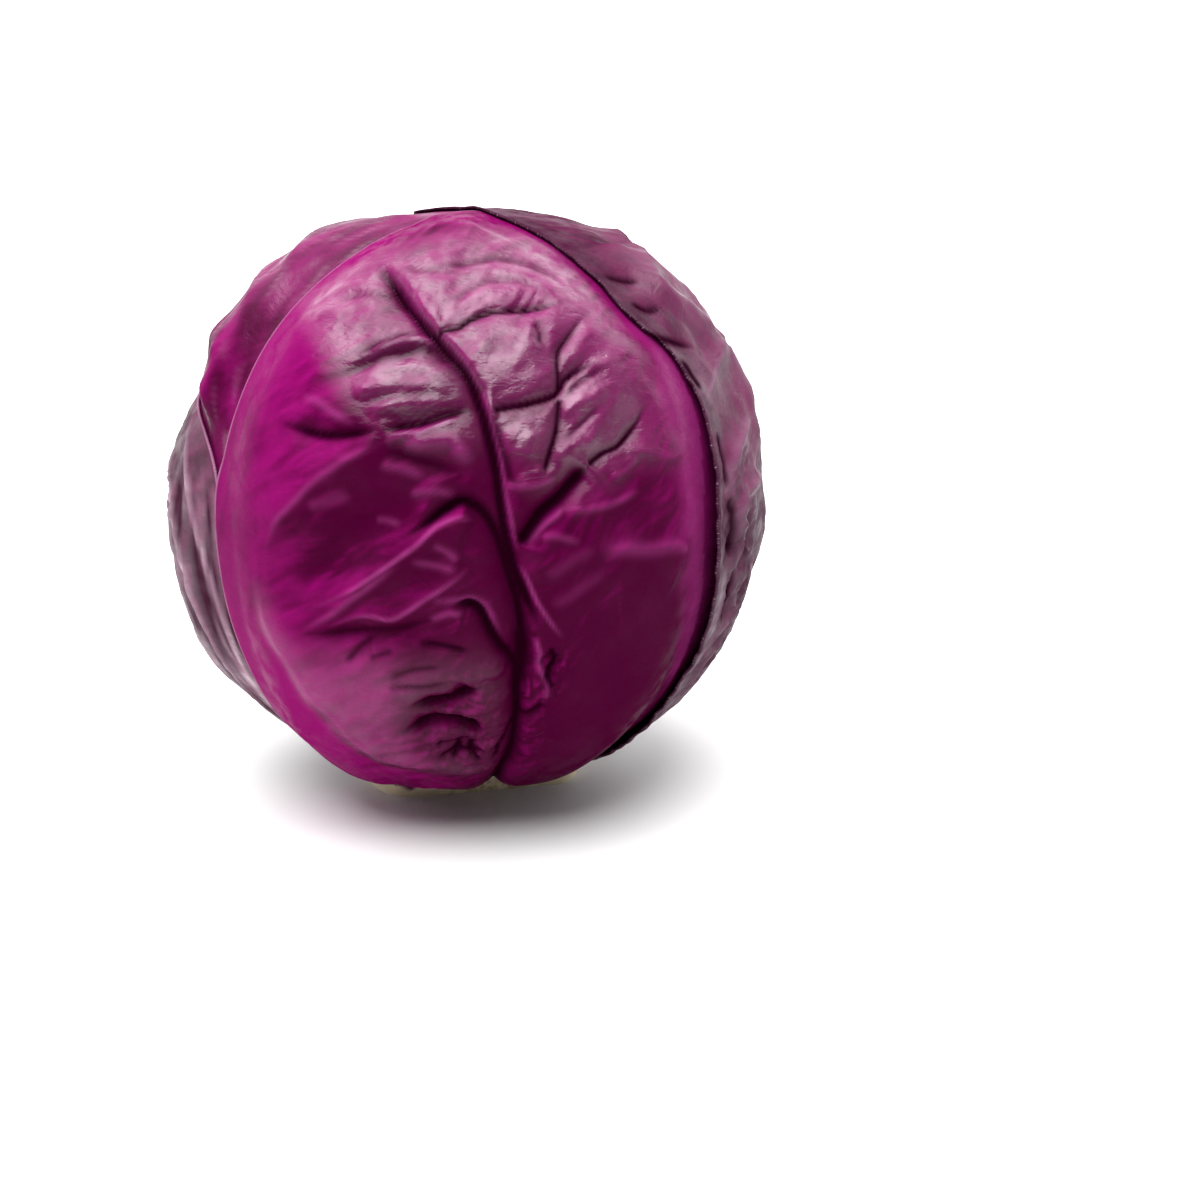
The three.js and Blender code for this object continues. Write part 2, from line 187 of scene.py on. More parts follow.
# ---- Cut stem ----
# The stump that the head was cut from the plant at: pale, juicy pith in a ring of woody strands,
# with the stalks of the outer leaves cut through round it. The knife left the face that the head
# stands on, and took a slice off the front.
MM = 0.001
STEM_FLAT = 16.7 * MM  # from the stem's middle to the slice
STEM_FLAT_AZIMUTH = math.radians(14.4)
STEM_CORNERS = 14  # how tight the corners are where that slice meets the round side
STEM_SIDES = 160
STEM_PARING = 0.5 * MM  # how far the stump's side stays inside its outline
BARK_WIDTH = 1.5 * MM
STRAND_RING = 0.62  # of the way from the stem's middle to its side, where its woody strands stand
CUT_BARK_HEIGHT = 2.8 * MM  # where the purple bark starts, on the average, above the cut face
_, stem_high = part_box("cut_stem")
STEM_RADIUS = stem_high.x
STEM_HEIGHT = stem_high.z


def stem_outline(azimuth):
    facing = np.maximum(np.cos(azimuth - STEM_FLAT_AZIMUTH), 0)
    return (STEM_RADIUS ** -STEM_CORNERS + (facing / STEM_FLAT) ** STEM_CORNERS) ** (-1 / STEM_CORNERS)


def moist_flesh():
    material, flesh = new_material("cut_stem_flesh")
    place = flesh.add("TexCoord", output=3)
    x, y, z = place.split()
    outward = flesh.math("SQRT", x * x + y * y) * (1 / STEM_RADIUS)
    grain = flesh.add("TexNoise", inputs={"Vector": place, "Scale": 900, "Detail": 4})
    blotch = flesh.add("TexNoise", inputs={"Vector": place, "Scale": 160, "Detail": 3})
    ring = flesh.math("ABSOLUTE", outward - STRAND_RING + (blotch - 0.5) * 0.08)
    strands = (1 - ring.ease(0.02, 0.09)) * grain.ease(0.45, 0.62)
    ragged_height = z + (blotch - 0.5) * (6 * MM) - CUT_BARK_HEIGHT
    bark = ragged_height.ease(-0.6 * MM, 0.6 * MM) * outward.ease(0.55, 0.7)
    pith = blotch.tint((0.72, 0.6, 0.38, 1), (0.86, 0.78, 0.56, 1))
    woody = (strands * 0.55).tint(pith, (0.5, 0.38, 0.2, 1))
    skin = bark.tint(woody, (0.2, 0.02, 0.1, 1))
    bump = flesh.add("Bump", inputs={"Height": grain + strands, "Strength": 0.5, "Distance": 0.0004})
    shine = flesh.add("BsdfPrincipled", inputs={
        "Base Color": skin, "Roughness": 0.45 + blotch * 0.2, "Normal": bump, "Subsurface Weight": 0.15,
        "Subsurface Radius": (0.004, 0.003, 0.002), "Subsurface Scale": 1.0})
    flesh.add("OutputMaterial", inputs={"Surface": shine})
    return material


stem_mesh = bmesh.new()
bmesh.ops.create_circle(stem_mesh, cap_ends=True, segments=STEM_SIDES, radius=1)
for rim in stem_mesh.verts:
    azimuth = math.atan2(rim.co.x, -rim.co.y)
    rim.co = Vector((rim.co.x, rim.co.y, 0)) * float(stem_outline(azimuth) - STEM_PARING)
cut_face = stem_mesh.faces[:]
bmesh.ops.inset_region(stem_mesh, faces=cut_face, thickness=BARK_WIDTH, use_even_offset=True)
raised = bmesh.ops.extrude_face_region(stem_mesh, geom=stem_mesh.faces[:])
upper = [part for part in raised["geom"] if isinstance(part, bmesh.types.BMVert)]
bmesh.ops.translate(stem_mesh, verts=upper, vec=(0, 0, STEM_HEIGHT))
bmesh.ops.recalc_face_normals(stem_mesh, faces=stem_mesh.faces[:])
stem = object_from(stem_mesh, "stem")
stem.data.materials.append(moist_flesh())
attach(stem, "root")
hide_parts("cut_stem")


# ---- Heart ----
# The tight inner leaves, folded over each other into a ball that the stem runs up into. They are
# thin, waxy and purple, and only slivers of them could show between the leaves that wrap them.
heart_low, heart_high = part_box("heart")
HEART_RADIUS = (heart_high.x - heart_low.x) / 2 / MM
CENTRE_HEIGHT = HEAD_MIDDLE.z / MM
CROWN_DROP = 0.5  # mm by which the heart is flatter at its crown
HEART_BLEND = 8  # mm of rounding between the heart's side and its flat underside
HEART_CRINKLE = 0.3  # mm by which the folded leaves stand in and out
WAX_GREY = (0.3, 0.2, 0.26, 1)
RIM_SPECKS = (0.42, 0.28, 0.38, 1)
# Painted shade for the bottom of a crease.
CREASE_SHADE = (0.006, 0.0001, 0.002, 1)


def corners_of(mesh):
    corners = np.empty(len(mesh.vertices) * 3)
    mesh.vertices.foreach_get("co", corners)
    return corners.reshape(-1, 3)


def move_corners(mesh, corners):
    mesh.vertices.foreach_set("co", corners.astype(np.float32).ravel())
    mesh.update()


def smooth_shade(mesh):
    mesh.polygons.foreach_set("use_smooth", [True] * len(mesh.polygons))


def ease(value, start, end):
    """0 at start and 1 at end, with a smooth run between them."""
    t = np.clip((value - start) / (end - start), 0, 1)
    return t * t * (3 - 2 * t)


def down_to(height, directions):
    """How far from the head's middle a level is met on the way down."""
    return (CENTRE_HEIGHT - height) / np.maximum(-directions[:, 2], 0.3)


def heart_surface(directions):
    side = HEART_RADIUS - CROWN_DROP * np.maximum(directions[:, 2], 0) ** 2
    underside = down_to(STEM_HEIGHT / MM + 0.8, directions)
    share = np.clip(0.5 + (underside - side) / (2 * HEART_BLEND), 0, 1)
    return underside + (side - underside) * share - HEART_BLEND * share * (1 - share)


def place_on_head(directions, radius):
    spots = directions * radius[:, None]
    spots[:, 2] += CENTRE_HEIGHT
    return spots * MM


def soft_noise(x, y, size, seed):
    """Smooth random heights from about -1 to 1, with hills about this size across."""
    turns = np.random.RandomState(seed).uniform(0, 2 * np.pi, (64, 64))
    u, v = x / size, y / size
    i, j = np.floor(u).astype(int), np.floor(v).astype(int)

    def pull(di, dj):
        turn = turns[(i + di) % 64, (j + dj) % 64]
        return np.cos(turn) * (u - i - di) + np.sin(turn) * (v - j - dj)

    s, t = ease(u - i, 0, 1), ease(v - j, 0, 1)
    near = pull(0, 0) * (1 - s) + pull(1, 0) * s
    far = pull(0, 1) * (1 - s) + pull(1, 1) * s
    return 1.6 * (near * (1 - t) + far * t)


def waxy_skin(name, bright, deep, pale, edge, bloom):
    """The skin of a leaf, from its brightest and deepest blade to its pale ribs and its edge. Bloom is how
    much grey wax dulls it. Where the leaf's own wax attribute is high, the skin is glossy, and its colour
    is paled as a painted sheen. The pale colour along ridge crests is partly the ribs' own and partly a
    painted highlight, and creases are darkened as painted shade."""
    material, skin = new_material(name)
    blade = skin.add("Attribute", {"attribute_name": "blade"}, output=1)
    blush_and_shade, wax, crease, crest, rim = (
        skin.add("Attribute", {"attribute_name": layer}, output=2)
        for layer in ("blush_and_shade", "wax", "crease", "crest", "rim"))
    cloud = skin.add("TexNoise", inputs={"Vector": blade, "Scale": 0.07, "Detail": 4, "Roughness": 0.6})
    patch = skin.add("TexNoise", inputs={"Vector": blade, "Scale": 0.16, "Detail": 3, "Roughness": 0.55})
    stretched = skin.add("Mapping", inputs={"Vector": blade, "Rotation": (0, 0, 0.5), "Scale": (0.5, 1, 1)})
    crinkle = skin.add(
        "TexNoise", inputs={"Vector": stretched, "Scale": 0.55, "Detail": 3, "Roughness": 0.5})
    pores = skin.add("TexNoise", inputs={"Vector": blade, "Scale": 3.0, "Detail": 2})
    tone = (blush_and_shade + (cloud - 0.5) * 0.5).ease(0.0, 1.0)
    flesh = tone.tint(deep, bright)
    # Pale on ridge crests, partly the ribs' own colour and partly painted highlight, and paled where glossy
    # as painted sheen.
    ribbed_and_sheen = skin.math("MAXIMUM", crest * (0.2 + patch * 0.5), wax * 0.15).tint(flesh, pale)
    waxed = (cloud.ease(0.3, 0.8) * bloom).tint(ribbed_and_sheen, WAX_GREY)
    speckled = pores.ease(0.6, 0.7).tint(edge, RIM_SPECKS)
    rimmed = (rim.ease(0.9, 0.1) * 0.8).tint(waxed, speckled)
    # Painted shade at the bottom of the creases.
    crease_shaded = (crease * 0.85).tint(rimmed, CREASE_SHADE)
    streak = 1 - skin.math("ABSOLUTE", crinkle - 0.5) * 5
    relief = streak * 0.22 + crinkle * 0.5 + pores * 0.1
    bump = skin.add("Bump", inputs={"Height": relief, "Strength": 0.5, "Distance": 0.0005})
    grazing = skin.add("LayerWeight", inputs={"Blend": 0.35}, output=1)
    blots = patch.ease(0.36, 0.62)
    waxed_over = wax * ((blots - 0.5) * wax * 0.6 + 0.8)
    coat = (waxed_over + grazing.ease(0.4, 0.8) * blots * 0.2) * (1 - crease)
    shine = skin.add("BsdfPrincipled", inputs={
        "Base Color": crease_shaded, "Roughness": 0.34 + patch * 0.2, "Specular IOR Level": 0.0, "Normal": bump,
        "Coat Weight": coat, "Coat IOR": 1.62, "Coat Roughness": 0.29, "Coat Normal": bump})
    skin.add("OutputMaterial", inputs={"Surface": shine})
    return material


def paint(mesh, name, values):
    kind = "FLOAT_VECTOR" if values.ndim == 2 else "FLOAT"
    layer = mesh.attributes.new(name, kind, "POINT")
    layer.data.foreach_set("vector" if values.ndim == 2 else "value", values.astype(np.float32).ravel())


heart_mesh = bmesh.new()
bmesh.ops.create_uvsphere(heart_mesh, u_segments=96, v_segments=64, radius=1)
heart = object_from(heart_mesh, "heart_leaves")
heart_way = corners_of(heart.data)
heart_fold = HEART_CRINKLE * soft_noise(heart_way[:, 0] * 60, heart_way[:, 2] * 60, 14, seed=3)
move_corners(heart.data, place_on_head(heart_way, heart_surface(heart_way) - HEART_CRINKLE + heart_fold))
paint(heart.data, "blade", heart_way * HEART_RADIUS)
for name, level in (("blush_and_shade", 0.3), ("wax", 0.3), ("crease", 0.0), ("crest", 0.0), ("rim", 9.0)):
    paint(heart.data, name, np.full(len(heart_way), level))
smooth_shade(heart.data)
heart.data.materials.append(waxy_skin(
    "inner_leaf_skin", (0.15, 0.01, 0.07, 1), (0.06, 0.002, 0.03, 1), (0.2, 0.05, 0.12, 1),
    (0.15, 0.01, 0.07, 1), 0.1))
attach(heart, "root")
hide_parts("heart")


# ---- Crown leaf ----
# The first of the five leaves that wrap the heart. Each grew from the stem as a broad blade with a
# midrib and side ribs, which stand out on its outer face, and was pressed round by the next.
BLADE_RADIUS = HEART_RADIUS + 3  # mm; the radius on which a blade's flat millimetres are measured
BLADE_THICKNESS = 0.6
FOOT_CLEARANCE = 6.5  # mm from the table up to the leaves' lowest pads
PRESSED = 20  # mm beside a leaf's edge in which the leaf underneath is pressed flat
LAYER = 0.95  # mm from one leaf's outer face to the next one's, where they lie close
STEM_ROOM = 0.5  # mm between the leaves and the stem
STEP_SPREAD = 7  # mm beside an edge underneath, over which a leaf comes down to what lies there
PAD_LIFT = 2.4  # mm that the blade stands off between its ribs
PAD_MARGIN = 20  # mm beside the leaf's edge in which that lift dies away
FOLD_REACH = 5  # times a fold's wider side, beyond which nothing is left of it
LINE_SHARE = 0.62  # of a fold's narrower side, over which its line shows in the colour, as painted shade in a crease and a pale line on a ridge
SOFT_WIDTH = 4  # mm; a fold at least this wide on both sides has no line along it
SLOPE_STEP = 0.35  # mm to either side, between which a slope is measured
SLOPE_SHADE = 0.7  # painted shade: how much darker the colour is made on the slopes that face the stem
HOLLOW_SHADE = 0.16  # painted shade: how much darker it is made for each millimetre of a hollow
MIDDLE_CELLS = 0.74  # how wide a leaf's grid cells are in its middle, against even ones
MARKINGS_APART = 17.0  # so that no two leaves have the same cloudy markings
# Bearings on a blade are in degrees clockwise from its tip, and the outline gives the distance in
# millimetres from the blade's middle to its edge on each bearing.
LAYOUT = {
    "crown_leaf": (150, 12, [
        (-180, 112), (-135, 96), (-90, 80), (-45, 88), (0, 104), (45, 86), (90, 84), (135, 98)]),
    "left_leaf": (-86, 10, [
        (-180, 112), (-140, 96), (-115, 88), (-90, 85), (-60, 84), (-30, 92), (0, 104), (30, 94), (60, 78),
        (90, 74), (120, 82), (145, 96)]),
    "back_leaf": (-137, -5, [
        (-180, 104), (-150, 103), (-120, 98), (-90, 94), (-60, 88), (-30, 74), (0, 67), (30, 62), (50, 64),
        (58, 69), (62, 78), (67, 90), (72, 98.5), (78, 104), (84, 106.5), (100, 107), (120, 104),
        (150, 104)]),
    "front_leaf": (0, 5, [
        (-180, 106), (-162, 110), (-145, 95), (-128, 79), (-104, 70), (-80, 71), (-60, 76), (-44, 83.5),
        (-25, 94), (-12, 104), (0, 112), (15, 112), (30, 103), (45, 93), (60, 87), (75, 84), (90, 83),
        (105, 83), (120, 87), (135, 94), (150, 103), (165, 110)]),
    "right_leaf": (122, 8, [
        (-180, 108), (-160, 109), (-135, 98), (-118, 91), (-105, 87.5), (-90, 85), (-78, 81), (-68, 77.5),
        (-57, 77), (-49, 79.5), (-44, 84.5), (-28, 89.5), (-13, 95), (0, 98.5), (10, 102), (18, 106),
        (30, 98), (45, 88), (60, 83), (90, 79), (120, 85), (145, 98), (165, 110)]),
}


def heading(azimuth, latitude):
    """The direction from the head's middle, in degrees from the front and from level."""
    azimuth, latitude = np.radians(azimuth), np.radians(latitude)
    level = np.cos(latitude)
    return np.array([np.sin(azimuth) * level, -np.cos(azimuth) * level, np.sin(latitude)])


class Blade:
    """Where a leaf lies on the head, and how far its blade reaches on every bearing."""

    def __init__(self, azimuth, latitude, outline):
        self.middle = heading(azimuth, latitude)
        self.right = heading(azimuth + 90, 0)
        self.up = np.cross(self.middle, self.right)
        self.bearings = np.linspace(-180, 180, 1441)
        angles, reaches = np.array(outline, float).T
        angles = np.concatenate([angles - 360, angles, angles + 360])
        reaches = np.tile(reaches, 3)
        slopes = np.gradient(reaches, angles)
        i = np.searchsorted(angles, self.bearings, side="right") - 1
        run = angles[i + 1] - angles[i]
        t = (self.bearings - angles[i]) / run
        self.free = (2 * t**3 - 3 * t**2 + 1) * reaches[i] + (t**3 - 2 * t**2 + t) * slopes[i] * run
        self.free += (3 * t**2 - 2 * t**3) * reaches[i + 1] + (t**3 - t**2) * slopes[i + 1] * run
        self.edge = np.minimum(self.free, self.stem_reach(np.radians(self.bearings)))

    def to_head(self, x, y):
        reach = np.maximum(np.hypot(x, y), 1e-6)
        share = (np.sin(reach / BLADE_RADIUS) / reach)[:, None]
        out = np.cos(reach / BLADE_RADIUS)[:, None] * self.middle
        return out + share * (x[:, None] * self.right + y[:, None] * self.up)

    def from_head(self, directions):
        x, y = directions @ self.right, directions @ self.up
        reach = BLADE_RADIUS * np.arccos(np.clip(directions @ self.middle, -1, 1))
        share = reach / np.maximum(np.hypot(x, y), 1e-9)
        return x * share, y * share

    def stem_reach(self, bearings):
        reaches = np.arange(60, 150, 0.5)
        found = np.full(len(bearings), np.inf)
        for reach in reaches[::-1]:
            way = self.to_head(np.sin(bearings) * reach, np.cos(bearings) * reach)
            out = heart_surface(way) * np.hypot(way[:, 0], way[:, 1]) * MM
            stem_edge = stem_outline(np.arctan2(way[:, 0], -way[:, 1])) + STEM_ROOM * MM
            beside = (way[:, 2] < 0) & (out < stem_edge)
            found[beside] = reach
        return found - 0.5

    def inside(self, x, y, edge=None):
        """Millimetres from a spot to the blade's edge, measured away from its middle."""
        bearings = np.degrees(np.arctan2(x, y))
        return np.interp(bearings, self.bearings, self.edge if edge is None else edge) - np.hypot(x, y)

    def cover(self, directions, spread):
        """1 on the blade, falling to 0 beside it."""
        return ease(self.inside(*self.from_head(directions)), -spread, 0)


blades = {name: Blade(*place) for name, place in LAYOUT.items()}
order = list(blades)  # from the heart outwards
reliefs = {}  # the relief of each leaf that has been laid


def smooth_path(points, steps=5):
    """A smooth curve through the points."""
    points = np.array(points, float)
    padded = np.vstack([points[:1], points, points[-1:]])
    t = np.linspace(0, 1, steps, endpoint=False)[:, None]
    runs = []
    for a, b, c, d in zip(padded, padded[1:], padded[2:], padded[3:]):
        bend, turn = 2 * a - 5 * b + 4 * c - d, 3 * b - a - 3 * c + d
        runs.append(0.5 * (2 * b + (c - a) * t + bend * t**2 + turn * t**3))
    return np.vstack(runs + [points[-1:]])


def beside_path(x, y, path):
    """For each spot: its distance from the path, whether it is on the path's left, and how far along."""
    best = np.full(len(x), np.inf)
    left = np.zeros(len(x), bool)
    along = np.zeros(len(x))
    for i, (start, end) in enumerate(zip(path, path[1:])):
        run = end - start
        off_x, off_y = x - start[0], y - start[1]
        t = np.clip((off_x * run[0] + off_y * run[1]) / (run @ run), 0, 1)
        distance = np.hypot(off_x - t * run[0], off_y - t * run[1])
        nearer = distance < best
        best[nearer] = distance[nearer]
        left[nearer] = (run[0] * off_y - run[1] * off_x > 0)[nearer]
        along[nearer] = ((i + t) / (len(path) - 1))[nearer]
    return best, left, along


def fold(height, path, left=1.8, right=1.8, fades=(0.25, 0.3), roundness=0.2):
    """A ridge, or a crease where height is below 0: its line, its width on either side of that line in
    millimetres, and the share of its length in which each end narrows and dies away."""
    return height, smooth_path(path), left, right, fades, roundness


def fold_heights(x, y, folds):
    """How far the folds lift the blade, and how near each spot is to a crease's and to a ridge's line."""
    drawn_in, lifted, crease, crest = np.zeros((4, len(x)))
    for height, path, left_width, right_width, fades, roundness in folds:
        reach = FOLD_REACH * max(left_width, right_width)
        low, high = path.min(0) - reach, path.max(0) + reach
        close = (x > low[0]) & (x < high[0]) & (y > low[1]) & (y < high[1])
        distance, left, along = beside_path(x[close], y[close], path)
        fade = ease(along, 0, fades[0]) * (1 - ease(along, 1 - fades[1], 1))
        width = np.where(left, left_width, right_width) * (0.3 + 0.7 * fade)
        share = fade * np.exp(roundness - np.hypot(distance / width, roundness))
        narrow = min(left_width, right_width)
        sharpness = min(0.6 * abs(height) / narrow, 1) * (narrow < SOFT_WIDTH)
        line = np.minimum(1.5 * fade * sharpness * np.exp(-((distance / (LINE_SHARE * narrow)) ** 2)), 1)
        if height < 0:
            drawn_in[close] += (-height * share) ** 3
            crease[close] = np.maximum(crease[close], line)
        else:
            lifted[close] += (height * share) ** 3
            crest[close] = np.maximum(crest[close], line)
    return np.cbrt(lifted) - np.cbrt(drawn_in), crease, crest


def even_ribs(base, tip, lean, count, depth, seed):
    """A midrib with side ribs that leave it left and right in turn and bend up to the leaf's edge."""
    draw = np.random.RandomState(seed)

    def along(t):
        return [lean * math.sin(t * math.pi) + lean * t, base + (tip - base) * t]

    midrib = [along(t) for t in (0, 0.25, 0.5, 0.75, 1)]
    ribs = [
        fold(-depth * 1.3, midrib, 6, 6, (0.05, 0.4), 0.4),
        fold(depth * 0.9, midrib[:4], 2.4, 2.4, (0.05, 0.5), 0.5),
    ]
    for i in range(count):
        start = 0.16 + 0.7 * i / count + draw.uniform(-0.02, 0.02)
        side = 1 if i % 2 else -1
        reach = 72 - 34 * start
        x, y = along(start)
        rise = 0.45 + 0.75 * start
        path = [[x + side * reach * t, y + reach * t * (rise + 0.35 * t)] for t in (0, 0.3, 0.65, 1)]
        path = [[px + draw.uniform(-2, 2), py + draw.uniform(-2.5, 2.5)] for px, py in path]
        size = depth * (1 - 0.4 * start) * draw.uniform(0.8, 1.2)
        if draw.uniform() < 0.55:
            ribs.append(fold(-size, path, 3.5, 3.5, (0.1, 0.35)))
        else:
            ribs.append(fold(size * 1.2, path, 4, 13, (0.1, 0.4), 0.1))
    return ribs


def stand_off(name, x, y):
    """How far a leaf stands off what it wraps, where nothing lies on it, in millimetres, and how near
    each spot is to a crease's and to a ridge's line. A hollow flattens out where it would sink in."""
    blade = blades[name]
    level, *lines = reliefs[name](x, y)
    level = (level + np.sqrt(level**2 + 0.2)) / 2
    inside = blade.inside(x, y, blade.free)
    return level * ease(inside, 0, PAD_MARGIN), *lines


def surface(name, directions):
    """The radius of a leaf's outer face, and how near its creases and ridges each spot is."""
    radius = heart_surface(directions)
    k = order.index(name)
    for j, under in enumerate(order[: k + 1]):
        blade = blades[under]
        on = np.ones(len(directions)) if j == k else blade.cover(directions, STEP_SPREAD)
        bare = np.ones(len(directions))
        for over in order[j + 1:]:
            bare = bare * (1 - blades[over].cover(directions, PRESSED))
        seen = (on > 0) & (bare > 0)
        pad, crease, crest = np.zeros((3, len(directions)))
        if seen.any():
            pad[seen], crease[seen], crest[seen] = stand_off(under, *blade.from_head(directions[seen]))
        room = np.maximum(down_to(FOOT_CLEARANCE, directions) - radius - LAYER, 0)
        radius = radius + on * (LAYER + bare * np.minimum(pad, room))
    return radius, crease, crest


def lay_leaf(name, piece_name, relief, cells, blush_and_shade, wax, material, edge_lift=None):
    """Makes a leaf: a square grid drawn out to the leaf's outline, then bent onto the head. Blush is how
    bright the blade is, with painted shade then taken off it on the slopes that face the stem and in the
    hollows; wax is how glossy it is, and edge_lift how far its edge stands off."""
    blade = blades[name]
    reliefs[name] = relief
    grid = bmesh.new()
    bmesh.ops.create_grid(grid, x_segments=cells, y_segments=cells, size=1)
    leaf = object_from(grid, piece_name)
    square = corners_of(leaf.data)
    a, b, _ = (square * (MIDDLE_CELLS + (1 - MIDDLE_CELLS) * square**2)).T
    across, upward = a * np.sqrt(1 - b**2 / 2), b * np.sqrt(1 - a**2 / 2)
    reach = np.interp(np.degrees(np.arctan2(across, upward)), blade.bearings, blade.edge)
    x, y = across * reach, upward * reach
    directions = blade.to_head(x, y)
    radius, crease, crest = surface(name, directions)
    inside = blade.inside(x, y, blade.free)
    if edge_lift is not None:
        radius = radius + edge_lift(x, y, inside)
    move_corners(leaf.data, place_on_head(directions, radius))
    apart = np.full(len(x), MARKINGS_APART * order.index(name))
    paint(leaf.data, "blade", np.column_stack([x, y, apart]))
    above = relief(x - SLOPE_STEP, y + SLOPE_STEP)[0]
    below = relief(x + SLOPE_STEP, y - SLOPE_STEP)[0]
    slope = above - below
    hollow = np.clip(PAD_LIFT + 1 - relief(x, y)[0], 0, 3)
    # Painted shade: the colour is darkened on the slopes that face the stem and in the hollows.
    shade = SLOPE_SHADE * np.tanh(slope) + HOLLOW_SHADE * hollow
    gloss = wax(x, y) * (1 - 0.3 * hollow) * (1 - 0.5 * np.tanh(np.maximum(slope, 0)))
    paint(leaf.data, "blush_and_shade", blush_and_shade(x, y) - shade * ease(inside, 0, PAD_MARGIN))
    paint(leaf.data, "wax", gloss.clip(0, 1))
    paint(leaf.data, "crease", crease)
    paint(leaf.data, "crest", crest)
    paint(leaf.data, "rim", inside)
    smooth_shade(leaf.data)
    wall = leaf.modifiers.new("thickness", "SOLIDIFY")
    wall.thickness = BLADE_THICKNESS * MM
    wall.offset = -1
    leaf.data.materials.append(material)
    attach(leaf, "root")
    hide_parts(name)


def foil(x, y, turn, seed, size=9.0):
    """Crinkles that run along a direction, with sharp crests between shallow hollows."""
    along = x * math.cos(turn) + y * math.sin(turn)
    across = y * math.cos(turn) - x * math.sin(turn)
    across = across + 0.2 * size * soft_noise(x, y, 1.6 * size, seed)
    height = np.zeros(len(x))
    for i, (share, depth, drawn_out) in enumerate(((1, 1.0, 1.7), (0.42, 0.6, 2.4), (0.22, 0.3, 3.5))):
        height += depth * (0.35 - np.abs(soft_noise(along / drawn_out, across, size * share, seed + 1 + i)))
    return height


CROWN_RIBS = even_ribs(base=-92, tip=70, lean=4, count=9, depth=2.0, seed=11)


def crown_relief(x, y):
    level, crease, crest = fold_heights(x, y, CROWN_RIBS)
    return PAD_LIFT + level + 0.5 * foil(x, y, 0.4, 1), crease, crest


def crown_blush(x, y):
    return np.full(len(x), 0.5)


def crown_wax(x, y):
    return np.full(len(x), 0.6)


# The fresh skin's pale edge colour is a painted highlight along the leaves' edges.
fresh_skin = waxy_skin(
    "fresh_leaf_skin", (0.21, 0.002, 0.1, 1), (0.052, 0.0001, 0.02, 1), (0.36, 0.045, 0.22, 1),
    (0.28, 0.1, 0.2, 1), 0.012)
lay_leaf("crown_leaf", "crown_wrapper", crown_relief, 120, crown_blush, crown_wax, fresh_skin)


# ---- Left leaf ----
# A fresh wrapper leaf on the left, bright where the light comes through to it, with the front leaf's
# edge pressed flat on it. Flat facets meet along a few sharp folds on its upper part.
LEFT_FOLDS = [
    fold(3.4, [[-60, 68], [-38, 67], [-14, 63], [1, 59], [9, 53], [16, 45], [23, 37]], 12, 8, (0.3, 0.2),
         0.1),
    fold(3.4, [[-50, 50], [-28, 51], [-3, 48], [10, 43], [22, 31], [25, 20]], 10, 8, (0.3, 0.2), 0.1),
    fold(3.8, [[-60, 26], [-34, 32], [-2, 32], [15, 30], [19, 21], [22, 8]], 10, 8, (0.3, 0.2), 0.1),
    fold(-2.2, [[0, -90], [-3, -50], [-8, -20], [-6, 0], [4, 20], [12, 38]], 5, 5, (0.05, 0.3), 0.3),
    fold(1.8, [[-8, -20], [-24, -8], [-44, 2], [-62, 4]], 9, 4),
    fold(-1.8, [[-6, -40], [-22, -36], [-42, -34], [-60, -40]], 4, 4),
    fold(2.0, [[-3, -50], [14, -40], [36, -30], [58, -30]], 4, 9),
]


def streaks(x, y, turn, seed):
    """Long strokes of lighter and deeper colour, from about -1 to 1."""
    along = x * math.cos(turn) + y * math.sin(turn)
    across = y * math.cos(turn) - x * math.sin(turn)
    return soft_noise(along / 4, across, 3.4, seed) + 0.6 * soft_noise(along / 5, across, 1.6, seed + 1)


def left_relief(x, y):
    level, crease, crest = fold_heights(x, y, LEFT_FOLDS)
    return PAD_LIFT + level + 0.3 * foil(x, y, 1.2, 2, 12.0), crease, crest


def left_blush(x, y):
    return 0.45 + 0.3 * streaks(x / 2, y / 2, -0.9, 31)


def left_wax(x, y):
    return 0.06 + 0.2 * ease(y, 30, 56) + 0.4 * ease(streaks(x, y, -0.9, 33), 0.1, 0.7)


lay_leaf("left_leaf", "left_wrapper", left_relief, 150, left_blush, left_wax, fresh_skin)


# ---- Back leaf ----
# A short, older leaf low on the left and round the back. Its blade has dried a little, so it is
# greyer, and long folds run down it to the stem.
BACK_FOLDS = [
    fold(2.6, [[66, 36], [85, 22], [94, 6], [98, -15], [93, -34], [82, -54], [62, -80]], 4, 1.8,
         (0.25, 0.2), 0.1),
    fold(2.8, [[52, 30], [66, 20], [80, 11], [87, -6], [87, -23], [80, -42], [60, -70]], 4.5, 2,
         (0.3, 0.2), 0.1),
    fold(2.8, [[56, 14], [70, 8], [78, 4], [80, -16], [74, -34], [54, -64]], 6, 2.2, (0.35, 0.2), 0.1),
] + even_ribs(base=-84, tip=44, lean=5, count=8, depth=2.2, seed=8)


def back_strokes(x, y):
    """Long strokes beside the leaf's right edge, where they run round the blade's middle."""
    return streaks(36 * np.arctan2(y, x), np.hypot(x, y), 0, 41) * ease(x, 36, 66) * ease(y, 30, 8)


def back_relief(x, y):
    level, crease, crest = fold_heights(x, y, BACK_FOLDS)
    return PAD_LIFT * 0.5 + level + 0.3 * foil(x, y, 1.4, 4) + 0.6 * back_strokes(x, y), crease, crest


def back_blush(x, y):
    return 0.38 + 0.5 * back_strokes(x, y) + 0.2 * streaks(x, y, 1.1, 44)


def back_wax(x, y):
    return 0.45 + 0.8 * back_strokes(x, y).clip(-0.5, 0.7)


aged_skin = waxy_skin(
    "weathered_leaf_skin", (0.14, 0.008, 0.065, 1), (0.03, 0.0006, 0.013, 1), (0.44, 0.27, 0.36, 1),
    (0.3, 0.12, 0.22, 1), 0.12)
lay_leaf("back_leaf", "back_wrapper", back_relief, 150, back_blush, back_wax, aged_skin)


